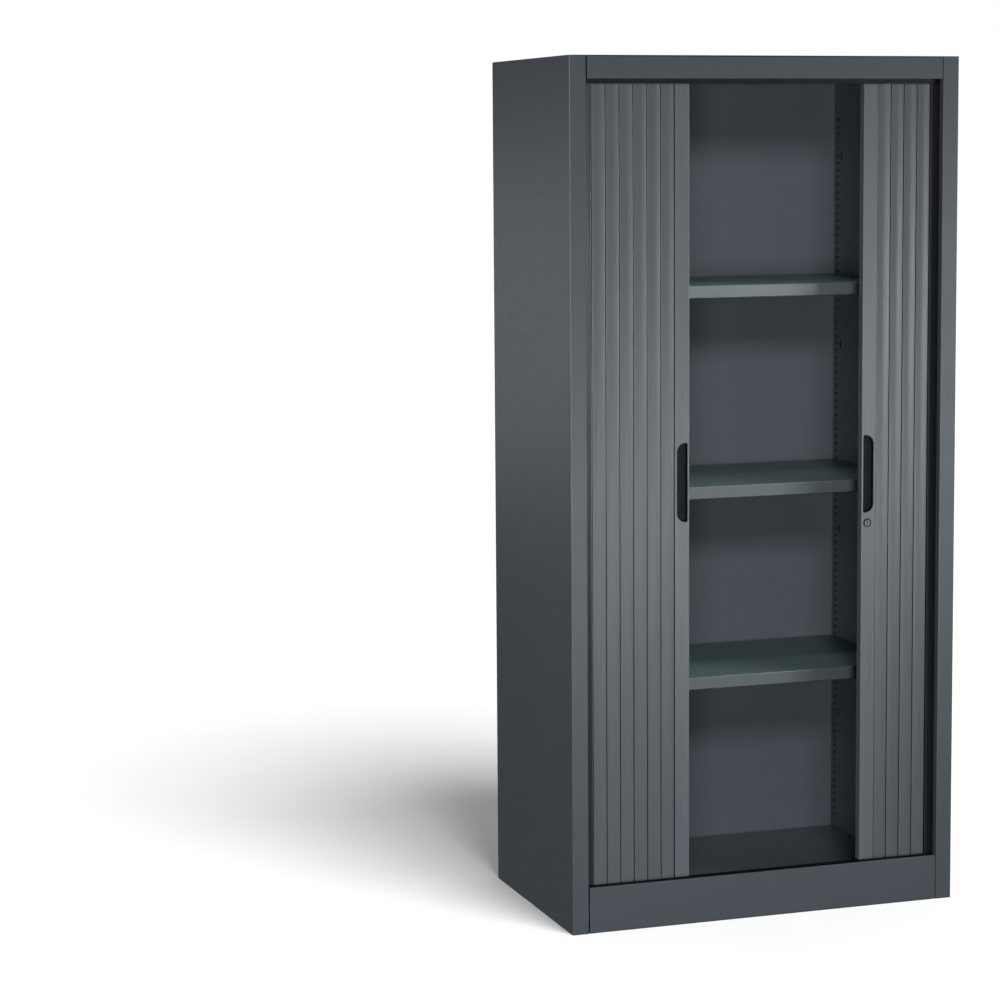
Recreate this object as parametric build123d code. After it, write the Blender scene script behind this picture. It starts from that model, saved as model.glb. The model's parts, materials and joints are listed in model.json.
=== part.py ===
from build123d import *
import math
import os

# Roll front tool cabinet: a folded sheet-steel cupboard closed by two curtains of upright slats.
# Each curtain runs in a track across the front, round the front corner and back along the side.
# Millimetres, +Z up, the front faces -Y, origin on the floor under the middle of the cabinet.

# Steel body
cabinet_width = 800.0
cabinet_depth = 450.0
cabinet_height = 1660.0
sheet = 1.0
top_sheet = 1.2
bend_radius = 1.8
post_width = 33.0
post_return = 15.0
rear_flange = 20.0
seam_gap = 1.8
fascia_height = 42.2
plinth_height = 89.5
rail_return = 16.0
plinth_hem = 3.0
skirt_height = 20.0
weld_gap = 0.2
floor_level = 47.0
back_setback = 1.2

# Inner linings with their rows of shelf holes
lining_inset = 50.0
lining_setback = 106.0
lining_flange = 25.0
shelf_hole_diameter = 5.0
clip_pitch = 15.0
lowest_clip_height = 75.0
top_hole_margin = 105.0
front_row_inset = 22.0
rear_row_inset = 13.0
keyhole_width = 9.0
keyhole_height = 15.0
keyhole_inset = 30.0
keyhole_steps = (15, 41, 67, 93)

# Shelves and the clips that carry them
shelf_steps = {"lower_shelf": 24, "middle_shelf": 49, "upper_shelf": 75}
shelf_lip_height = 24.5
shelf_side_flange = 20.0
shelf_lip_return = 12.0
shelf_side_gap = 0.5
clip_width = 10.0
clip_height = 8.0
clip_reach = 8.0
clip_pin_gap = 0.2
clip_pin_length = 8.0

# Curtain slats: a round nose on one edge turns in a cove on the next slat's edge
slat_pitch = 27.7
slat_crown = 6.0
slat_edge = 3.6
slat_shoulder = 1.4
nose_radius = 2.2
nose_gap = 0.35
slat_edge_gap = 0.5
slat_wall = 1.2
slide_gap = 0.3

# Path of the curtains: the line through the slats' pivots
path_setback = 26.0
path_side_inset = 14.3
slats_in_bend = 2

# Number of slats in each stretch of the two curtains as they stand
left_front_slats = 6
left_closing_slats = 6
right_front_slats = 4
right_closing_slats = 7

# Tracks
track_wall = 1.5
track_web = 2.0
track_outer_gap = 1.2
track_inner_offset = 6.0
track_rib = 2.0
bottom_web_level = 74.0
bottom_outer_wall = 12.5
bottom_inner_wall = 10.0
top_track_drop = 40.0
top_wall_height = 12.0
track_end_room = 12.0
track_joint_gap = 0.2

# Leading stiles
stile_width = 30.2
stile_thickness = 18.0
stile_wall = 1.5
stile_end_gap = 0.4
stile_edge_radius = 1.2
glide_plug_length = 15.0
glide_clearance = 0.3
glide_tongue_front = 4.8
glide_tongue_back = 4.2

# Recessed grips
grip_width = 21.6
grip_height = 152.0
grip_level = 855.0
grip_edge_distance = 3.6
grip_near_radius = 3.0
grip_far_radius = 17.5
grip_rim = 1.3
grip_depth = 9.0
grip_base = 1.2
grip_fillet = 1.5
grip_proud = 0.3
grip_gap = 0.15
cut_margin = 1.0

# Cam lock in the right stile
lock_edge_distance = 12.7
lock_level = 759.0
lock_rim_diameter = 17.0
lock_rim_proud = 1.0
lock_barrel_diameter = 14.0
lock_hole_gap = 0.2
lock_barrel_length = 11.0
plug_diameter = 9.0
plug_gap = 0.05
plug_collar_diameter = 11.5
plug_collar_depth = 2.0
key_slot_width = 1.4
key_slot_length = 6.0
key_slot_depth = 6.0
lock_nut_diameter = 20.0
lock_nut_thickness = 3.0
cam_square = 5.0
cam_thickness = 2.0
cam_gap = 0.3
cam_length = 24.0
cam_half_width = 3.0
cam_nose_height = 7.5
cam_nose_width = 4.0
cam_square_gap = 0.05
cam_slot_low = 24.0
cam_slot_high = 4.6
cam_slot_gap = 0.6

# Levelling feet
foot_side_inset = 55.0
foot_end_inset = 65.0
foot_pad_diameter = 36.0
foot_pad_height = 7.0
foot_stud_diameter = 10.0
foot_stud_gap = 0.05
foot_travel = 6.0
bracket_size = 44.0
bracket_sheet = 3.0
bracket_level = 22.0
bracket_boss_diameter = 18.0
bracket_boss_drop = 8.0

# Two points closer than this are one point
same_point = 0.001

# Places worked out from the sizes above
half_width = cabinet_width / 2
front = -cabinet_depth / 2
back = cabinet_depth / 2
top_underside = cabinet_height - top_sheet
back_face = back - back_setback - sheet
post_edge = half_width - post_width
rail_half_length = post_edge - seam_gap
fascia_bottom = cabinet_height - fascia_height - top_sheet
path_radius = slat_pitch / (2 * math.sin(math.radians(45.0 / slats_in_bend)))
path_front = front + path_setback
bend_y = path_front + path_radius
path_side = half_width - path_side_inset
bend_start = path_side - path_radius
lining_face = half_width - lining_inset
lining_front = front + lining_setback
lining_back = back_face - weld_gap
lining_top = top_underside - weld_gap
shelf_hole_count = 1 + int((lining_top - top_hole_margin - lowest_clip_height) / clip_pitch)
stile_back = slat_crown - stile_thickness
top_web_level = cabinet_height - top_track_drop
slat_bottom = bottom_web_level + track_web + slide_gap
slat_top = top_web_level - slide_gap
stile_bottom = bottom_web_level + track_web + bottom_outer_wall + stile_end_gap
stile_top = top_web_level - top_wall_height - stile_end_gap
left_side_slats = left_closing_slats + 1
right_side_slats = right_closing_slats + 1
left_stored_slats = left_side_slats + left_front_slats - 1
right_stored_slats = right_side_slats + right_front_slats - 1
track_rear = bend_y + max(left_stored_slats, right_stored_slats) * slat_pitch + track_end_room
hole_rows = (lining_front + front_row_inset, lining_back - rear_row_inset)
cove_radius = nose_radius + nose_gap
foot_x = half_width - foot_side_inset


def fold(points, thickness):
    """Section of a folded sheet: the points follow one face and the metal lies to their left."""
    corners = [Vector(*point) for point in points]
    ways = [(end - start).normalized() for start, end in zip(corners, corners[1:])]
    normals = [Vector(-way.Y, way.X) for way in ways]
    other_face = [corners[0] + normals[0] * thickness]
    outside = []
    inside = []
    for corner, before, after in zip(corners[1:-1], normals, normals[1:]):
        opposite = corner + (before + after) * (thickness / (1 + before.dot(after)))
        other_face.append(opposite)
        turns_left = before.cross(after).Z > 0
        outside.append(corner if turns_left else opposite)
        inside.append(opposite if turns_left else corner)
    other_face.append(corners[-1] + normals[-1] * thickness)
    section = make_face(Polyline(*corners, *reversed(other_face), close=True))
    for places, radius in ((outside, bend_radius), (inside, bend_radius - thickness)):
        picked = []
        for vertex in section.vertices():
            if min((Vector(*vertex) - place).length for place in places) < same_point:
                picked.append(vertex)
        section = fillet(picked, radius)
    return section


def upright(section, low, high):
    """Extrude a plan section from one level to another."""
    return extrude(Plane.XY.offset(low) * section, high - low, dir=(0, 0, 1))


def crosswise(section, half_length):
    """Extrude a section drawn in (y, z) along X, the same way on both sides of the middle."""
    plane = Plane(origin=(-half_length, 0, 0), x_dir=(0, 1, 0), z_dir=(1, 0, 0))
    return extrude(plane * section, 2 * half_length, dir=(1, 0, 0))


def block(low, high):
    """Box between two opposite corners."""
    size = [b - a for a, b in zip(low, high)]
    return Pos(*low) * Box(*size, align=(Align.MIN, Align.MIN, Align.MIN))


def rod(diameter, start, end, axis="Z"):
    """Cylinder along an axis between two points that differ only on that axis."""
    turns = {"X": Rot(0, 90, 0), "Y": Rot(-90, 0, 0), "Z": Rot(0, 0, 0)}
    length = (Vector(*end) - Vector(*start)).length
    cylinder = Cylinder(diameter / 2, length, align=(Align.CENTER, Align.CENTER, Align.MIN))
    return Pos(*start) * turns[axis] * cylinder


def other_side(piece):
    """The same piece for the left half of the cabinet."""
    return mirror(piece, about=Plane.YZ)


# Steel body

def side_panel():
    """Right side: one sheet folded into the front post and the rear flange."""
    outline = [
        (post_edge, front + post_return),
        (post_edge, front),
        (half_width, front),
        (half_width, back),
        (half_width - rear_flange, back),
    ]
    return upright(fold(outline, sheet), 0, top_underside)


def top_panel():
    """Lid over the whole plan, with a skirt welded inside the sides and the back."""
    plan = RectangleRounded(cabinet_width, cabinet_depth, bend_radius)
    lid = upright(plan, top_underside, cabinet_height)
    skirt_half = half_width - sheet - weld_gap
    skirt_front = front + post_return + weld_gap
    skirt_back = back_face - weld_gap
    skirt_low = top_underside - skirt_height
    skirt = block((-skirt_half, skirt_front, skirt_low), (skirt_half, skirt_back, top_underside))
    skirt -= block(
        (-skirt_half + sheet, skirt_front, skirt_low),
        (skirt_half - sheet, skirt_back - sheet, top_underside),
    )
    skirt -= lining_clearance()
    return lid + skirt


def lining_clearance():
    """Room in the lid's skirt for the rear flanges of the two linings."""
    reach = lining_face + lining_flange + sheet + weld_gap
    low = (lining_face - weld_gap, lining_back - sheet - weld_gap, top_underside - skirt_height)
    notch = block(low, (reach, lining_back + weld_gap, top_underside))
    return notch + other_side(notch)


def front_rail(low, high, upper_return):
    """Channel across the front between the posts, open to the back."""
    outline = [
        (front + upper_return, high),
        (front, high),
        (front, low),
        (front + rail_return, low),
    ]
    return crosswise(fold(outline, sheet), rail_half_length)


def back_panel():
    """Flat sheet held in front of the side panels' rear flanges."""
    reach = half_width - bend_radius - weld_gap
    return block((-reach, back_face, 0), (reach, back_face + sheet, top_underside - weld_gap))


def floor_panel():
    """Tray floor with its edges turned down, notched round the posts' returns."""
    reach = half_width - sheet - weld_gap
    front_edge = front + sheet + weld_gap
    back_edge = back_face - weld_gap
    low = floor_level - skirt_height
    tray = block((-reach, front_edge, low), (reach, back_edge, floor_level))
    tray -= block(
        (-reach + sheet, front_edge + sheet, low),
        (reach - sheet, back_edge - sheet, floor_level - sheet),
    )
    notch = block(
        (post_edge - seam_gap, front_edge, low),
        (reach, front + post_return + weld_gap, floor_level),
    )
    return tray - notch - other_side(notch)


def shelf_hole_level(step):
    """Height of one hole of the rows in the linings, counted from the lowest."""
    return lowest_clip_height + step * clip_pitch


def lining():
    """Right inner wall: a channel that hides the stored curtain and carries the shelves."""
    far_edge = lining_face + lining_flange
    outline = [
        (far_edge, lining_back),
        (lining_face, lining_back),
        (lining_face, lining_front),
        (far_edge, lining_front),
    ]
    wall = upright(fold(outline, sheet), floor_level, lining_top)
    punch_plane = Plane(origin=(lining_face - sheet, 0, 0), x_dir=(0, 1, 0), z_dir=(1, 0, 0))
    holes = Sketch()
    for row in hole_rows:
        for step in range(shelf_hole_count):
            holes += Pos(row, shelf_hole_level(step)) * Circle(shelf_hole_diameter / 2)
    keyhole = Rectangle(keyhole_width, keyhole_height)
    for step in keyhole_steps:
        holes += Pos(lining_back - keyhole_inset, shelf_hole_level(step)) * keyhole
    return wall - extrude(punch_plane * holes, 3 * sheet, dir=(1, 0, 0))


# Shelves

def shelf_level(name):
    """Top face of a shelf, from the hole that its clips hang in."""
    return shelf_hole_level(shelf_steps[name]) + clip_height / 2 + shelf_side_flange


def shelf(name):
    """Tray shelf: its sides stand on the clips and its front lip is folded under."""
    top = shelf_level(name)
    reach = lining_face - shelf_side_gap
    shelf_back = back_face - shelf_side_gap
    outline = [
        (shelf_back, top - shelf_lip_height),
        (shelf_back, top),
        (lining_front, top),
        (lining_front, top - shelf_lip_height),
        (lining_front + shelf_lip_return, top - shelf_lip_height),
    ]
    tray = crosswise(fold(outline, sheet), reach)
    flange = block(
        (reach - sheet, lining_front + bend_radius, top - shelf_side_flange),
        (reach, shelf_back - bend_radius, top - sheet / 2),
    )
    return tray + flange + other_side(flange)


def shelf_clips():
    """Four clips under each shelf, with a pin through the lining."""
    clips = []
    pin = shelf_hole_diameter - 2 * clip_pin_gap
    for name, step in shelf_steps.items():
        level = shelf_hole_level(step)
        for row in hole_rows:
            body = block(
                (lining_face - clip_reach, row - clip_width / 2, level - clip_height / 2),
                (lining_face, row + clip_width / 2, level + clip_height / 2),
            )
            lower_edge = body.faces().sort_by(Axis.Z)[0].edges().sort_by(Axis.X)[0]
            body = chamfer(lower_edge, clip_height / 3)
            pin_end = lining_face + clip_pin_length
            clip = body + rod(pin, (lining_face, row, level), (pin_end, row, level), "X")
            clips += [clip, other_side(clip)]
    return Compound(children=clips)


# Curtain path and slats

def run_area(offset, rear):
    """Plan area inside a line at an offset outwards from the curtains' path."""
    reach = path_side + offset
    line_front = path_front - offset
    face = make_face(Polyline(
        (-reach, rear), (-reach, line_front), (reach, line_front), (reach, rear), close=True
    ))
    corners = face.vertices().sort_by(Axis.Y)[:2]
    return fillet(corners, path_radius + offset)


def run_band(inner, outer):
    """Plan area between two offsets from the path."""
    return run_area(outer, track_rear) - run_area(inner, track_rear)


def cut_to_lengths(track, low, high):
    """Divide a track where its corner bends meet its straight lengths."""
    half_gap = track_joint_gap / 2
    reach = cabinet_width
    gap_at_side = block((-reach, bend_y - half_gap, low), (reach, bend_y + half_gap, high))
    gap_in_front = block((bend_start - half_gap, -reach, low), (bend_start + half_gap, bend_y, high))
    return track - gap_at_side - gap_in_front - other_side(gap_in_front)


def bottom_track():
    """Channel that the slats stand in, on a rib from the floor panel."""
    web_top = bottom_web_level + track_web
    inner = -track_inner_offset
    outer = slat_crown + track_outer_gap
    track = upright(run_band(inner - track_wall, outer + track_wall), bottom_web_level, web_top)
    track += upright(run_band(inner - track_wall, inner), web_top, web_top + bottom_inner_wall)
    track += upright(run_band(outer, outer + track_wall), web_top, web_top + bottom_outer_wall)
    track += upright(run_band(-track_rib / 2, track_rib / 2), floor_level, bottom_web_level)
    return cut_to_lengths(track, 0, cabinet_height)


def top_track():
    """Channel that guides the slats' upper ends, on a rib from the top panel."""
    inner = -track_inner_offset
    outer = slat_crown + track_outer_gap
    web_top = top_web_level + track_web
    wall_bottom = top_web_level - top_wall_height
    track = upright(run_band(inner - track_wall, outer + track_wall), top_web_level, web_top)
    track += upright(run_band(inner - track_wall, inner), wall_bottom, top_web_level)
    track += upright(run_band(outer, outer + track_wall), wall_bottom, top_web_level)
    track += upright(run_band(-track_rib / 2, track_rib / 2), web_top, top_underside)
    return cut_to_lengths(track, 0, cabinet_height)


def slat_section():
    """Hollow slat: pivots half a pitch either side of the middle, outer face towards +Y."""
    half = slat_pitch / 2
    left = -half + slat_edge_gap
    right = half - slat_edge_gap
    shoulder_level = slat_edge + slat_shoulder
    cove_foot = (-half + cove_radius, 0)
    mid_arc = math.radians(40)
    cove_middle = (-half + cove_radius * math.cos(mid_arc), cove_radius * math.sin(mid_arc))
    cove_tip = (left, math.sqrt(cove_radius**2 - slat_edge_gap**2))
    nose_start = (right, math.sqrt(nose_radius**2 - slat_edge_gap**2))
    outline = [
        Line((-half + cove_radius, -nose_radius), cove_foot),
        ThreePointArc(cove_foot, cove_middle, cove_tip),
        Line(cove_tip, (left, slat_edge)),
        RadiusArc((left, slat_edge), (left + slat_shoulder, shoulder_level), slat_shoulder),
        ThreePointArc(
            (left + slat_shoulder, shoulder_level), (0, slat_crown), (right - slat_shoulder, shoulder_level)
        ),
        RadiusArc((right - slat_shoulder, shoulder_level), (right, slat_edge), slat_shoulder),
        Line((right, slat_edge), nose_start),
        ThreePointArc(nose_start, (half + nose_radius, 0), (half, -nose_radius)),
        Line((half, -nose_radius), (-half + cove_radius, -nose_radius)),
    ]
    chamber_left = -half + cove_radius + slat_wall
    chamber_right = half - nose_radius - slat_wall
    chamber_foot = -nose_radius + slat_wall
    chamber_side = slat_edge - slat_wall
    chamber = [
        Line((chamber_left, chamber_foot), (chamber_left, chamber_side)),
        ThreePointArc(
            (chamber_left, chamber_side), (0, slat_crown - slat_wall), (chamber_right, chamber_side)
        ),
        Line((chamber_right, chamber_side), (chamber_right, chamber_foot)),
        Line((chamber_right, chamber_foot), (chamber_left, chamber_foot)),
    ]
    return make_face(outline) - make_face(chamber)


def path_point(travel):
    """Pivot on the right-hand path: travel is 0 where the bend starts, and grows round it to the rear."""
    if travel <= 0:
        return Vector(bend_start + travel, path_front)
    bend_length = slats_in_bend * slat_pitch
    if travel >= bend_length:
        return Vector(path_side, bend_y + travel - bend_length)
    angle = math.radians(90 * travel / bend_length)
    return Vector(bend_start + path_radius * math.sin(angle), bend_y - path_radius * math.cos(angle))


def slat(first_pivot, body):
    """Slat on the right-hand path that starts a number of pitches past the start of the bend."""
    start = path_point(first_pivot * slat_pitch)
    end = path_point((first_pivot + 1) * slat_pitch)
    middle = (start + end) * 0.5
    way = end - start
    angle = math.degrees(math.atan2(way.Y, way.X))
    return Pos(middle.X, middle.Y) * Rot(0, 0, angle) * body


def slat_names(side, front_slats, side_slats):
    """Name of each slat of a curtain with the pivot it starts at, from the stile to the rear."""
    named = {}
    for number in range(front_slats):
        named[f"{side}_front_slat_{number + 1}"] = number - front_slats
    for number in range(slats_in_bend):
        named[f"{side}_bend_slat_{number + 1}"] = number
    for number in range(side_slats):
        named[f"{side}_stored_slat_{number + 1}"] = slats_in_bend + number
    return named


# Leading stiles, drawn on the right-hand curtain with x measured from the leading edge

def stile_place(front_slats):
    """Where a stile's own origin, at its leading edge on the path, stands on the right-hand path."""
    return Pos(bend_start - front_slats * slat_pitch - stile_width, path_front)


def outward(section):
    """Plan sections are drawn with +Y outwards, and the front of the cabinet faces -Y."""
    return mirror(section, about=Plane.XZ)


def grip_outline(inset):
    """D shape of the grip: tight corners by the leading edge, wide ones on the other side."""
    shape = Rectangle(grip_width - 2 * inset, grip_height - 2 * inset)
    near = shape.vertices().filter_by_position(Axis.X, -grip_width, 0)
    shape = fillet(near, grip_near_radius - inset)
    far = [v for v in shape.vertices() if v.X > grip_width / 2 - inset - same_point]
    return fillet(far, grip_far_radius - inset)


def on_stile_face(shape, offset):
    """Put a shape drawn in (x, z) on the stile's outer face, a distance in front of it."""
    plane = Plane(origin=(0, -(slat_crown + offset), 0), x_dir=(1, 0, 0), z_dir=(0, -1, 0))
    return plane * shape


def grip_middle():
    """Centre of the grip on the stile's face."""
    return Pos(grip_edge_distance + grip_width / 2, grip_level)


def cam_slot():
    """Slot in a stile's leading edge that the lock's cam swings through."""
    cam_front = -slat_crown + lock_barrel_length + cam_gap
    return block(
        (-stile_wall, cam_front - cam_slot_gap, lock_level - cam_slot_low),
        (2 * stile_wall, cam_front + cam_thickness + cam_slot_gap, lock_level + cam_slot_high),
    )


def stile(with_lock):
    """Hollow leading stile with the grip's opening, the cam's slot and the lock's hole."""
    shoulder = stile_width - slat_edge_gap
    middle = Pos(shoulder / 2, (slat_crown + stile_back) / 2)
    box = middle * Rectangle(shoulder, stile_thickness)
    leading_corners = box.vertices().filter_by_position(Axis.X, -stile_edge_radius, stile_edge_radius)
    box = fillet(leading_corners, stile_edge_radius)
    nose = Pos(stile_width, 0) * Circle(nose_radius)
    neck_half = math.sqrt(nose_radius**2 - slat_edge_gap**2)
    neck = Pos(stile_width - slat_edge_gap, 0) * Rectangle(2 * slat_edge_gap, 2 * neck_half)
    hollow = middle * Rectangle(shoulder - 2 * stile_wall, stile_thickness - 2 * stile_wall)
    body = upright(outward(box + nose + neck - hollow), stile_bottom, stile_top)
    opening = on_stile_face(grip_middle() * grip_outline(-grip_gap), cut_margin)
    body -= extrude(opening, cut_margin + 2 * stile_wall, dir=(0, 1, 0))
    body -= cam_slot()
    if with_lock:
        hole = lock_barrel_diameter + 2 * lock_hole_gap
        body -= rod(hole, *lock_line(-cut_margin, 2 * stile_wall), "Y")
    return body


def stile_glides():
    """Plastic plugs in both ends of a stile, with tongues that run in the tracks."""
    left = stile_wall + glide_clearance
    right = stile_width - slat_edge_gap - stile_wall - glide_clearance
    plug_front = -slat_crown + stile_wall + glide_clearance
    plug_back = -stile_back - stile_wall - glide_clearance
    glides = []
    for edge, plug_end, tongue_end in (
        (stile_bottom, stile_bottom + glide_plug_length, slat_bottom),
        (stile_top, stile_top - glide_plug_length, slat_top),
    ):
        plug = block((left, plug_front, min(edge, plug_end)), (right, plug_back, max(edge, plug_end)))
        tongue = block(
            (left, -glide_tongue_front, min(edge, tongue_end)),
            (right, glide_tongue_back, max(edge, tongue_end)),
        )
        glides.append(plug + tongue)
    return Compound(children=glides)


def grip():
    """Black dish set into the stile, with a rounded bottom."""
    outer = on_stile_face(grip_middle() * grip_outline(0), grip_proud)
    dish = extrude(outer, grip_proud + grip_depth + grip_base, dir=(0, 1, 0))
    inner = on_stile_face(grip_middle() * grip_outline(grip_rim), grip_proud)
    hollow = extrude(inner, grip_proud + grip_depth, dir=(0, 1, 0))
    hollow = fillet(hollow.faces().sort_by(Axis.Y)[-1].edges(), grip_fillet)
    return dish - hollow


# Cam lock

def lock_line(start, end):
    """Points on the lock's axis, at depths behind the stile's outer face."""
    return tuple((lock_edge_distance, -slat_crown + depth, lock_level) for depth in (start, end))


def lock_barrel():
    """Fixed barrel with a rim on the stile's face and a bore for the plug."""
    rim = rod(lock_rim_diameter, *lock_line(-lock_rim_proud, 0), "Y")
    rim = chamfer(rim.faces().sort_by(Axis.Y)[0].edges(), lock_rim_proud / 2)
    barrel = rim + rod(lock_barrel_diameter, *lock_line(0, lock_barrel_length), "Y")
    bore = plug_diameter + 2 * plug_gap
    barrel -= rod(bore, *lock_line(-lock_rim_proud, lock_barrel_length), "Y")
    counterbore = plug_collar_diameter + 2 * plug_gap
    return barrel - rod(counterbore, *lock_line(-lock_rim_proud, plug_collar_depth), "Y")


def lock_plug():
    """Turning plug with the key slot in front and a square for the cam behind."""
    collar = rod(plug_collar_diameter, *lock_line(-lock_rim_proud, plug_collar_depth - plug_gap), "Y")
    plug = collar + rod(plug_diameter, *lock_line(0, lock_barrel_length + cam_gap), "Y")
    start, end = lock_line(lock_barrel_length + cam_gap, lock_barrel_length + cam_gap + cam_thickness)
    half = cam_square / 2
    plug += block((start[0] - half, start[1], start[2] - half), (end[0] + half, end[1], end[2] + half))
    mouth = lock_line(-lock_rim_proud, key_slot_depth)
    return plug - block(
        (mouth[0][0] - key_slot_width / 2, mouth[0][1], lock_level - key_slot_length / 2),
        (mouth[1][0] + key_slot_width / 2, mouth[1][1], lock_level + key_slot_length / 2),
    )


def lock_nut():
    """Ring nut that holds the barrel against the inside of the stile's face."""
    line = lock_line(stile_wall, stile_wall + lock_nut_thickness)
    ring = rod(lock_nut_diameter, *line, "Y")
    return ring - rod(lock_barrel_diameter + 2 * plug_gap, *line, "Y")


def lock_cam():
    """Hooked cam on the plug's square, hanging down when the lock is open."""
    hook = make_face(Polyline(
        (-cam_nose_height, -cam_length),
        (cam_half_width, -cam_length),
        (cam_half_width, 0),
        (-cam_half_width, 0),
        (-cam_half_width, -cam_length + cam_nose_width),
        (-cam_nose_height, -cam_length + cam_nose_width),
        close=True,
    ))
    square = cam_square + 2 * cam_square_gap
    hook = hook + Circle(cam_square) - Rectangle(square, square)
    depth = -slat_crown + lock_barrel_length + cam_gap
    plane = Plane(origin=(lock_edge_distance, depth, lock_level), x_dir=(1, 0, 0), z_dir=(0, -1, 0))
    return extrude(plane * hook, cam_thickness, dir=(0, 1, 0))


# Levelling feet

def foot_places():
    """Name and place of each levelling foot."""
    return {
        "front_left_foot": (-foot_x, front + foot_end_inset),
        "front_right_foot": (foot_x, front + foot_end_inset),
        "rear_left_foot": (-foot_x, back - foot_end_inset),
        "rear_right_foot": (foot_x, back - foot_end_inset),
    }


def foot():
    """Round pad on a stud, at the origin."""
    pad = rod(foot_pad_diameter, (0, 0, 0), (0, 0, foot_pad_height))
    pad = chamfer(pad.faces().sort_by(Axis.Z)[-1].edges(), foot_pad_height / 3)
    stud_top = floor_level - sheet - foot_travel - slide_gap
    return pad + rod(foot_stud_diameter, (0, 0, 0), (0, 0, stud_top))


def foot_brackets():
    """Channel brackets welded under the floor panel, each with a plain bored boss for a foot."""
    half = bracket_size / 2
    under_floor = floor_level - sheet
    channel = half - bracket_sheet
    body = block((-half, -half, bracket_level), (half, half, under_floor))
    body -= block((-channel, -half, bracket_level + bracket_sheet), (channel, half, under_floor))
    body += rod(bracket_boss_diameter, (0, 0, bracket_level - bracket_boss_drop), (0, 0, bracket_level))
    body -= rod(foot_stud_diameter + 2 * foot_stud_gap, (0, 0, 0), (0, 0, under_floor))
    return Compound(children=[Pos(x, y) * body for x, y in foot_places().values()])


def build():
    """Every node of the cabinet, by name."""
    nodes = {
        "right_side_panel": side_panel(),
        "left_side_panel": other_side(side_panel()),
        "top_panel": top_panel(),
        "front_fascia": front_rail(fascia_bottom, top_underside, rail_return),
        "front_plinth": front_rail(0, plinth_height, plinth_hem),
        "back_panel": back_panel(),
        "floor_panel": floor_panel(),
        "right_lining": lining(),
        "left_lining": other_side(lining()),
        "shelf_clips": shelf_clips(),
        "top_track": top_track(),
        "bottom_track": bottom_track(),
        "foot_brackets": foot_brackets(),
    }
    for name in shelf_steps:
        nodes[name] = shelf(name)
    for name, (x, y) in foot_places().items():
        nodes[name] = Pos(x, y) * foot()

    slat_body = upright(outward(slat_section()), slat_bottom, slat_top)
    for name, pivot in slat_names("right", right_front_slats, right_side_slats).items():
        nodes[name] = slat(pivot, slat_body)
    for name, pivot in slat_names("left", left_front_slats, left_side_slats).items():
        nodes[name] = other_side(slat(pivot, slat_body))

    at_right = stile_place(right_front_slats)
    nodes["right_stile"] = at_right * stile(with_lock=True)
    nodes["right_grip"] = at_right * grip()
    nodes["right_stile_glides"] = at_right * stile_glides()
    nodes["lock_barrel"] = at_right * lock_barrel()
    nodes["lock_plug"] = at_right * lock_plug()
    nodes["lock_nut"] = at_right * lock_nut()
    nodes["lock_cam"] = at_right * lock_cam()
    at_left = stile_place(left_front_slats)
    nodes["left_stile"] = other_side(at_left * stile(with_lock=False))
    nodes["left_grip"] = other_side(at_left * grip())
    nodes["left_stile_glides"] = other_side(at_left * stile_glides())
    return nodes


os.makedirs("parts", exist_ok=True)
for node_name, node in build().items():
    export_step(node, f"parts/{node_name}.step")
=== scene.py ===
import bpy
import json
import math
from mathutils import Matrix, Vector


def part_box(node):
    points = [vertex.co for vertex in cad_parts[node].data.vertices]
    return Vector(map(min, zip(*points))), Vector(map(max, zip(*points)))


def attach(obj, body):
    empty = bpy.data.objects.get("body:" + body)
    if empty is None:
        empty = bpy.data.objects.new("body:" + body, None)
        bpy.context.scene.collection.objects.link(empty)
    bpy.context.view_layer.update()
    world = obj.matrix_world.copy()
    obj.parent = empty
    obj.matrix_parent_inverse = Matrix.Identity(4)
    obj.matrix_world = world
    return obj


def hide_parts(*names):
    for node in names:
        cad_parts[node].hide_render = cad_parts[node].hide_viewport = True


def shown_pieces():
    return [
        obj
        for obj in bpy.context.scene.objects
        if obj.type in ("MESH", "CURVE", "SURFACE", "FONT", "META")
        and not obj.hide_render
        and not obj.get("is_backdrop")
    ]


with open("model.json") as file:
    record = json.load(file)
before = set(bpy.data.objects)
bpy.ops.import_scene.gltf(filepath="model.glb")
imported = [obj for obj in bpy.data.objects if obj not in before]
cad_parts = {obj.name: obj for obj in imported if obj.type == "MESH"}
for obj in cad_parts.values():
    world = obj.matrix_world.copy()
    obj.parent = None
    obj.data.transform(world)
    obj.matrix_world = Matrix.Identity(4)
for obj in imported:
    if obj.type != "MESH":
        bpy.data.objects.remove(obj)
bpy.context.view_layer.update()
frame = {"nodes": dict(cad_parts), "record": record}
nodes = frame["nodes"]
scene = bpy.context.scene
scene.view_settings.view_transform = "Standard"

# ---------------------------------------------------------------- camera

YAW, PITCH, ROLL = (math.radians(a) for a in (-18.45, -6.18, -0.41))
CAMERA_PLACE = Vector((-2.153, -5.062, 1.487))
SENSOR_MM = 36.0
LENS_MM = 99.81
SHIFT_Y = -0.05
FAR_CLIP = 200.0

forward = Vector((-math.sin(YAW) * math.cos(PITCH), math.cos(YAW) * math.cos(PITCH), math.sin(PITCH)))
level_right = Vector((math.cos(YAW), math.sin(YAW), 0))
level_up = level_right.cross(forward)
right = level_right * math.cos(ROLL) + level_up * math.sin(ROLL)
up = level_up * math.cos(ROLL) - level_right * math.sin(ROLL)

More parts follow.
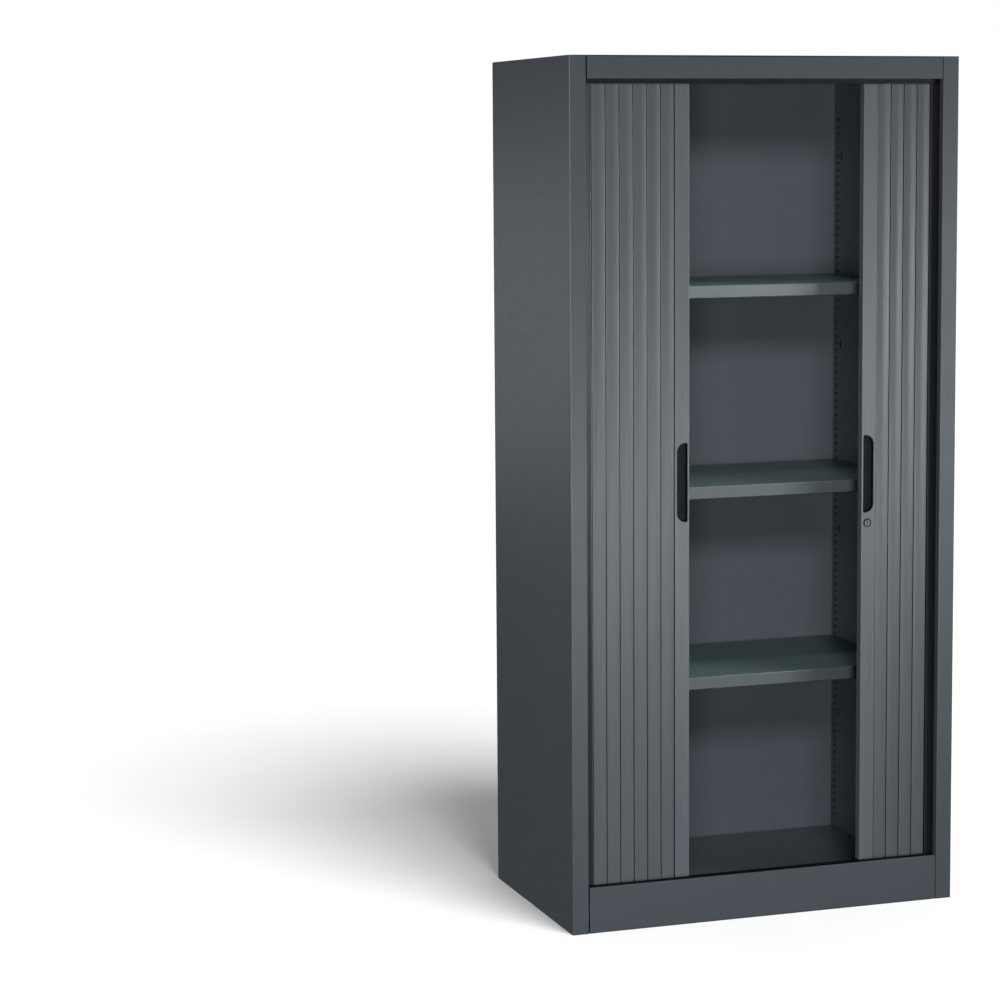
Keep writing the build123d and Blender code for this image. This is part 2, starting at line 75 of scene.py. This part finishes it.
camera_data = bpy.data.cameras.new("camera")
camera_data.sensor_width = SENSOR_MM
camera_data.lens = LENS_MM
camera_data.shift_y = SHIFT_Y
camera_data.clip_end = FAR_CLIP
camera = bpy.data.objects.new("camera", camera_data)
scene.collection.objects.link(camera)
camera.matrix_world = Matrix((
    (right.x, up.x, -forward.x, CAMERA_PLACE.x),
    (right.y, up.y, -forward.y, CAMERA_PLACE.y),
    (right.z, up.z, -forward.z, CAMERA_PLACE.z),
    (0, 0, 0, 1),
))
scene.camera = camera


# ---------------------------------------------------------------- light

LAMP_TINT = (0.96, 1.0, 1.035)


def aim(obj, place, target):
    """Puts a light somewhere and turns it to face a point."""
    obj.location = place
    obj.rotation_mode = "QUATERNION"
    obj.rotation_quaternion = (Vector(target) - Vector(place)).to_track_quat("-Z", "Y")


def soft_box(name, place, target, width, height, watts):
    """Rectangular lamp that the camera doesn't see."""
    data = bpy.data.lights.new(name, "AREA")
    data.shape = "RECTANGLE"
    data.size = width
    data.size_y = height
    data.energy = watts
    data.color = LAMP_TINT
    obj = bpy.data.objects.new(name, data)
    scene.collection.objects.link(obj)
    aim(obj, place, target)
    obj.visible_camera = False
    return obj


def sun_light(name, travel, strength, spread):
    """Far light that travels along a direction, with a spread in degrees that softens its shadows."""
    data = bpy.data.lights.new(name, "SUN")
    data.energy = strength
    data.angle = math.radians(spread)
    obj = bpy.data.objects.new(name, data)
    scene.collection.objects.link(obj)
    overhead = Vector((0, 0, 6))
    aim(obj, overhead, overhead + Vector(travel))
    return obj


SHELVES = ("lower_shelf", "middle_shelf", "upper_shelf")
CAVITY = ("back_panel", "left_lining_slotted", "right_lining_slotted", "floor_panel", "shelf_clips")
RECESS = (
    "left_bend_slat_1", "left_bend_slat_2", "right_bend_slat_1", "right_bend_slat_2", "top_track", "bottom_track"
)
KINDS = ("floor", "whole", "inside", "cavity", "outside", "front", "shutter", "shelves", "recess")
lit = {kind: bpy.data.collections.new("lit_" + kind) for kind in KINDS}


def kinds_of(name):
    """Kinds of lamp that light a piece, by its name."""
    if name in SHELVES:
        return ("whole", "inside", "shelves")
    if name in CAVITY:
        return ("whole", "inside", "cavity")
    if name in RECESS:
        return ("whole", "recess")
    if "slat" in name or "stile" in name:
        return ("whole", "outside", "front", "shutter")
    return ("whole", "outside", "front")


# Each soft box: the kind of piece it lights, where it stands, what it faces, its width and height, its watts.
SOFT_BOXES = {
    "low_fill": ("outside", (-2.3, -5.4, 0.75), (0, 0, 0.8), 1.6, 1.0, 150),
    "camera_fill": ("outside", (-2.2, -5.4, 2.0), (0, 0, 0.8), 1.6, 1.2, 7),
    "low_left": ("outside", (-0.7, -3.0, 0.45), (0, -0.2, 0.7), 0.8, 0.6, 24),
    "low_right": ("front", (3.0, -4.4, 0.4), (0, 0, 0.8), 1.6, 0.8, 23),
    "glow_left": ("front", (1.1, -4.3, 0.22), (0, -0.2, 0.8), 0.6, 0.35, 14),
    "glow_right": ("front", (3.2, -4.3, 1.0), (0, -0.2, 0.8), 0.6, 0.35, 20),
    "slat_edges": ("shutter", (5.0, -1.0, 1.0), (0, -0.2, 0.85), 0.8, 1.4, 130),
    "recess_fill": ("recess", (-2.3, -5.4, 0.9), (0, 0, 0.8), 1.6, 1.0, 45),
    "recess_right": ("recess", (2.6, -4.4, 0.8), (0.36, 0, 0.8), 1.0, 1.0, 22),
    "left_side": ("outside", (-4.0, 0.3, 1.5), (-0.4, 0, 1.0), 2.0, 1.4, 68),
    "left_back": ("outside", (-2.6, 4.2, 0.9), (-0.4, 0, 1.1), 2.4, 1.2, 5.5),
    "inside_high": ("inside", (-1.3, -5.2, 3.1), (0, 0, 0.8), 1.2, 0.8, 185),
    "inside_low": ("cavity", (-2.2, -5.3, 1.1), (0, 0, 0.8), 1.4, 1.0, 200),
    "inside_top": ("shelves", (-0.3, -1.15, 3.3), (-0.1, -0.1, 1.0), 0.6, 0.3, 20),
    "shelf_right": ("shelves", (1.9, -1.6, 1.45), (0, -0.1, 1.0), 1.6, 0.5, 70),
    "inside_right": ("inside", (3.8, -3.0, 2.9), (0, -0.1, 0.9), 0.8, 0.8, 100),
    "right_side": ("whole", (4.2, 0.4, 1.4), (0.4, 0, 0.9), 2.6, 2.6, 48),
    "rear": ("whole", (0.8, 4.8, 1.7), (0, 0, 0.9), 2.6, 2.0, 100),
    "top": ("whole", (0, 0.9, 4.2), (0, 0, 1.6), 0.6, 1.4, 60),
}
for name, (kind, *setting) in SOFT_BOXES.items():
    lamp = soft_box(name, *setting)
    lamp.light_linking.receiver_collection = lit[kind]

# The floor has its own light: a sun for the cabinet's shadow, and a wide one for the white around it.
floor_sun = sun_light("floor_sun", (-0.136, 0.604, -0.785), 3.52, 33.8)
floor_sky = sun_light("floor_sky", (0.013, 0.029, -1.0), 1.11, 133.4)
for lamp in (floor_sun, floor_sky):
    lamp.light_linking.receiver_collection = lit["floor"]

# The camera sees white all round. The pieces get only a faint glow from below, which ends at the horizon.
GLOW_FROM_BELOW = 0.065
HORIZON = 0.1

world = bpy.data.worlds.new("studio")
scene.world = world
world.use_nodes = True
tree = world.node_tree
tree.nodes.clear()
world_out = tree.nodes.new("ShaderNodeOutputWorld")
seen = tree.nodes.new("ShaderNodeBackground")
seen.inputs["Color"].default_value = (1, 1, 1, 1)
seen.inputs["Strength"].default_value = 1.0
around = tree.nodes.new("ShaderNodeBackground")
around.inputs["Color"].default_value = (1, 1, 1, 1)
coords = tree.nodes.new("ShaderNodeTexCoord")
split = tree.nodes.new("ShaderNodeSeparateXYZ")
tree.links.new(coords.outputs["Generated"], split.inputs[0])
glow = tree.nodes.new("ShaderNodeMapRange")
for socket, value in (("From Min", -HORIZON), ("From Max", HORIZON), ("To Min", GLOW_FROM_BELOW), ("To Max", 0.0)):
    glow.inputs[socket].default_value = value
tree.links.new(split.outputs["Z"], glow.inputs["Value"])
tree.links.new(glow.outputs[0], around.inputs["Strength"])
path = tree.nodes.new("ShaderNodeLightPath")
blend = tree.nodes.new("ShaderNodeMixShader")
tree.links.new(path.outputs["Is Camera Ray"], blend.inputs["Fac"])
tree.links.new(around.outputs[0], blend.inputs[1])
tree.links.new(seen.outputs[0], blend.inputs[2])
tree.links.new(blend.outputs[0], world_out.inputs["Surface"])


# ---------------------------------------------------------------- materials

WHITE = (1.0, 1.0, 1.0)
MOST = (0.3, 0.7)      # noise values between which most of a texture lies
MIDDLE = (0.35, 0.65)  # a narrower band, for soft clouds


class Surface:
    """Principled material with procedural detail, in the object's own coordinates, in metres."""

    def __init__(self, name, roughness=0.5, metallic=0.0, specular=0.5):
        self.material = bpy.data.materials.new(name)
        self.material.use_nodes = True
        self.tree = self.material.node_tree
        self.tree.nodes.clear()
        self.out = self.add("ShaderNodeOutputMaterial")
        self.shader = self.add("ShaderNodeBsdfPrincipled")
        self.link(self.shader, 0, self.out, "Surface")
        self.set(self.shader, "Roughness", roughness)
        self.set(self.shader, "Metallic", metallic)
        self.set(self.shader, "Specular IOR Level", specular)
        self.place = self.add("ShaderNodeTexCoord")

    def add(self, kind):
        return self.tree.nodes.new(kind)

    def link(self, source, output, target, socket):
        self.tree.links.new(source.outputs[output], target.inputs[socket])

    def set(self, node, socket, value):
        node.inputs[socket].default_value = value

    def noise(self, scale, detail=3.0, roughness=0.55):
        """Noise in cycles per metre, the same along each axis or three scales, one for each."""
        mapping = self.add("ShaderNodeMapping")
        self.link(self.place, "Object", mapping, "Vector")
        self.set(mapping, "Scale", scale if hasattr(scale, "__len__") else (scale,) * 3)
        texture = self.add("ShaderNodeTexNoise")
        self.set(texture, "Scale", 1.0)
        self.set(texture, "Detail", detail)
        self.set(texture, "Roughness", roughness)
        self.link(mapping, 0, texture, "Vector")
        return texture

    def span(self, source, low, high, between=MOST, output="Fac"):
        """Maps a node's value to a range."""
        node = self.add("ShaderNodeMapRange")
        self.link(source, output, node, "Value")
        self.set(node, "From Min", between[0])
        self.set(node, "From Max", between[1])
        self.set(node, "To Min", low)
        self.set(node, "To Max", high)
        return node

    def shades(self, source, colour, dark, light, between=MOST):
        """Shades of a colour over a noise's value, as two factors of it."""
        ramp = self.add("ShaderNodeValToRGB")
        for element, position, factor in zip(ramp.color_ramp.elements, between, (dark, light)):
            element.position = position
            element.color = (*(c * factor for c in colour), 1)
        self.link(source, "Fac", ramp, "Fac")
        return ramp

    def colour_of(self, node):
        """A node's colour output. A mix has one for each data type, and the third is the colour."""
        return node.outputs[2] if node.bl_idname == "ShaderNodeMix" else node.outputs[0]

    def mix(self, factor, a, b, mode="MIX"):
        """Mixes two colours, each a node or three numbers. The factor is a number or a node."""
        node = self.add("ShaderNodeMix")
        node.data_type = "RGBA"
        node.blend_type = mode
        if hasattr(factor, "outputs"):
            self.tree.links.new(factor.outputs[0], node.inputs[0])
        else:
            node.inputs[0].default_value = factor
        for value, socket in ((a, node.inputs[6]), (b, node.inputs[7])):
            if hasattr(value, "outputs"):
                self.tree.links.new(self.colour_of(value), socket)
            else:
                socket.default_value = (*value, 1)
        return node

    def multiply(self, a, b):
        return self.mix(1.0, a, b, "MULTIPLY")

    def colour(self, node):
        """Sets the surface's colour."""
        self.tree.links.new(self.colour_of(node), self.shader.inputs["Base Color"])

    def bump(self, source, distance, under=None):
        """Relief from a noise, over another bump if one is given."""
        node = self.add("ShaderNodeBump")
        self.set(node, "Distance", distance)
        self.set(node, "Strength", 1.0)
        self.link(source, "Fac", node, "Height")
        if under is not None:
            self.link(under, 0, node, "Normal")
        return node

    def painted_crevice_shade(self, colour, reach=0.004, depth=0.2):
        """Darkens a colour where something stands within reach: painted shade in joints and grooves."""
        open_sky = self.add("ShaderNodeAmbientOcclusion")
        open_sky.samples = 4
        self.set(open_sky, "Distance", reach)
        return self.multiply(colour, self.span(open_sky, depth, 1.0, between=(0.35, 0.9), output="AO"))

    def finish(self, normal=None, roughness=None):
        """Links the relief and the roughness, and gives the material."""
        if normal is not None:
            self.link(normal, 0, self.shader, "Normal")
        if roughness is not None:
            self.link(roughness, 0, self.shader, "Roughness")
        return self.material


def powder_coat(name, colour, roughness=(0.31, 0.39), shaded_top_colour=None):
    """Satin powder coat: orange peel, fine grain, faint cloudiness. Faces that look up may get their own colour, a
    painted shade.
    """
    s = Surface(name)
    base = s.shades(s.noise(5.0, detail=4.0), colour, 0.98, 1.02, between=MIDDLE)
    # Faces that look up blend to a painted shade colour.
    if shaded_top_colour:
        facing = s.add("ShaderNodeSeparateXYZ")
        s.link(s.place, "Normal", facing, 0)
        base = s.mix(s.span(facing, 0.0, 1.0, between=(0.5, 0.9), output="Z"), base, shaded_top_colour)
    fleck = s.shades(s.noise(1500.0, detail=2.0), WHITE, 0.93, 1.07)
    # Painted shade darkens the coat's colour in joints and corners.
    s.colour(s.painted_crevice_shade(s.multiply(base, fleck)))
    peel = s.bump(s.noise(420.0, detail=2.0, roughness=0.5), 0.00002)
    grain = s.bump(s.noise(2400.0, detail=1.0), 0.000005, under=peel)
    return s.finish(grain, s.span(s.noise(60.0, detail=5.0), *roughness))


def extruded_plastic(name, colour, streak=0.05):
    """Upright extruded profile: fine lines along its length and a satin skin."""
    s = Surface(name)
    lines = s.noise((900.0, 900.0, 1.2), roughness=0.6)
    base = s.shades(lines, colour, 1 - streak, 1 + streak)
    cloud = s.shades(s.noise((30.0, 30.0, 3.0)), WHITE, 0.97, 1.03, between=MIDDLE)
    # Painted shade darkens the colour in the grooves between slats.
    s.colour(s.painted_crevice_shade(s.multiply(base, cloud), reach=0.006, depth=0.05))
    skin = s.bump(s.noise(1800.0, detail=2.0), 0.000004, under=s.bump(lines, 0.00001))
    return s.finish(skin, s.span(s.noise((300.0, 300.0, 6.0), detail=4.0), 0.27, 0.33))


def moulded_plastic(name, colour, scale, roughness=(0.4, 0.55), specular=0.5):
    """Moulded plastic with a fine spark-eroded grain."""
    s = Surface(name, specular=specular)
    cells = s.noise(scale, roughness=0.65)
    base = s.shades(cells, colour, 0.85, 1.2)
    cloud = s.shades(s.noise(40.0), WHITE, 0.95, 1.05, between=MIDDLE)
    s.colour(s.multiply(base, cloud))
    return s.finish(s.bump(cells, 0.00004), s.span(s.noise(90.0, detail=4.0), *roughness))


def plated_metal(name, colour, roughness):
    """Plated metal with brush lines and a little tarnish."""
    s = Surface(name, metallic=1.0)
    tarnish = s.noise(70.0, detail=5.0, roughness=0.65)
    base = s.shades(tarnish, colour, 0.82, 1.08)
    brush = s.noise((60.0, 900.0, 900.0))
    # Painted shade darkens the metal's colour in joints.
    s.colour(s.painted_crevice_shade(s.multiply(base, s.shades(brush, WHITE, 0.92, 1.05)), reach=0.003, depth=0.03))
    return s.finish(s.bump(brush, 0.000008), s.span(tarnish, *roughness))


SLOT_MATERIALS = {
    "body_steel": powder_coat("body_coat", (0.062, 0.070, 0.080)),
    "lining_steel": powder_coat("lining_coat", (0.038, 0.055, 0.065), roughness=(0.40, 0.48)),
    # The shelves' tops get a darker, greener painted shade.
    "shelf_steel": powder_coat("shelf_coat", (0.086, 0.100, 0.101), shaded_top_colour=(0.060, 0.094, 0.089)),
    "slat_plastic": extruded_plastic("slat_skin", (0.085, 0.091, 0.101)),
    "stile_plastic": extruded_plastic("stile_skin", (0.104, 0.111, 0.122), streak=0.03),
    "track_plastic": moulded_plastic("track_black", (0.014, 0.018, 0.019), 700.0),
    "grip_plastic": moulded_plastic("grip_black", (0.007, 0.009, 0.009), 1100.0, (0.5, 0.65), specular=0.15),
    "foot_plastic": moulded_plastic("foot_black", (0.015, 0.015, 0.016), 500.0),
    "lock_chrome": plated_metal("lock_nickel", (0.13, 0.13, 0.135), (0.30, 0.42)),
    "lock_steel": plated_metal("lock_zinc", (0.48, 0.49, 0.50), (0.28, 0.42)),
    "zinc_steel": plated_metal("zinc_sheet", (0.42, 0.43, 0.45), (0.32, 0.5)),
}
for part in frame["record"]["subparts"]:
    mesh = nodes[part["node"]].data
    mesh.materials.clear()
    mesh.materials.append(SLOT_MATERIALS[part["material_slot"]])

# The lock's rim is darker than its face. The back is rougher than the outside, and its coat is a darker copy of the
# body's, a painted shade.
nodes["lock_barrel"].data.materials[0] = plated_metal("lock_dark_rim", (0.026, 0.027, 0.028), (0.30, 0.42))
nodes["back_panel"].data.materials[0] = powder_coat("shaded_inner_coat", (0.051, 0.058, 0.068), roughness=(0.52, 0.62))

# ---------------------------------------------------------------- slotted linings

FRONT_ROW = 0.022       # from the lining's front edge to its front row of shelf holes
REAR_ROW = 0.013        # from its rear edge to its rear row
HOLE_REACH = 0.0029     # vertices as near as this to a row belong to its holes
MIDDLE_REACH = 0.0001   # vertices nearer than this to a row move less, so those on it stay
SLOT_STRETCH = 0.0045   # how far each half of a hole moves out
REAR_FLANGE = 0.002     # faces as near as this to the rear edge are the rear flange


def slotted_lining(name):
    """Copy of a lining whose shelf holes are drawn out into slots, as the photo's dots are wider than round holes.

    Its rear flange, seen only through the slots, is black: a painted shade behind the holes.
    """
    low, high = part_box(name)
    rows = (low[1] + FRONT_ROW, high[1] - REAR_ROW)
    mesh = nodes[name].data.copy()
    for vertex in mesh.vertices:
        for row in rows:
            offset = vertex.co.y - row
            if abs(offset) < HOLE_REACH:
                vertex.co.y += math.copysign(SLOT_STRETCH, offset) * min(1.0, abs(offset) / MIDDLE_REACH)
    # The rear flange gets the black track material as painted shade.
    mesh.materials.append(SLOT_MATERIALS["track_plastic"])
    for polygon in mesh.polygons:
        if polygon.center.y > high[1] - REAR_FLANGE:
            polygon.material_index = 1
    piece = bpy.data.objects.new(name + "_slotted", mesh)
    scene.collection.objects.link(piece)
    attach(piece, "cabinet")
    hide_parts(name)


for name in ("left_lining", "right_lining"):
    slotted_lining(name)

# ---------------------------------------------------------------- floor

FLOOR_REACH = 30.0

floor_mesh = bpy.data.meshes.new("studio_floor")
corners = [(x * FLOOR_REACH, y * FLOOR_REACH, 0) for x, y in ((-1, -1), (1, -1), (1, 1), (-1, 1))]
floor_mesh.from_pydata(corners, [], [(0, 1, 2, 3)])
floor = bpy.data.objects.new("studio_floor", floor_mesh)
scene.collection.objects.link(floor)
paper = Surface("studio_paper", roughness=0.9, specular=0.1)
paper.colour(paper.shades(paper.noise(3.0), WHITE, 0.88, 0.9))
floor_mesh.materials.append(paper.finish())
floor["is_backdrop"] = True
floor.visible_diffuse = False
floor.visible_glossy = False

# ---------------------------------------------------------------- which lamps light what

lit["floor"].objects.link(floor)
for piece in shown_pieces():
    for kind in kinds_of(piece.name):
        lit[kind].objects.link(piece)
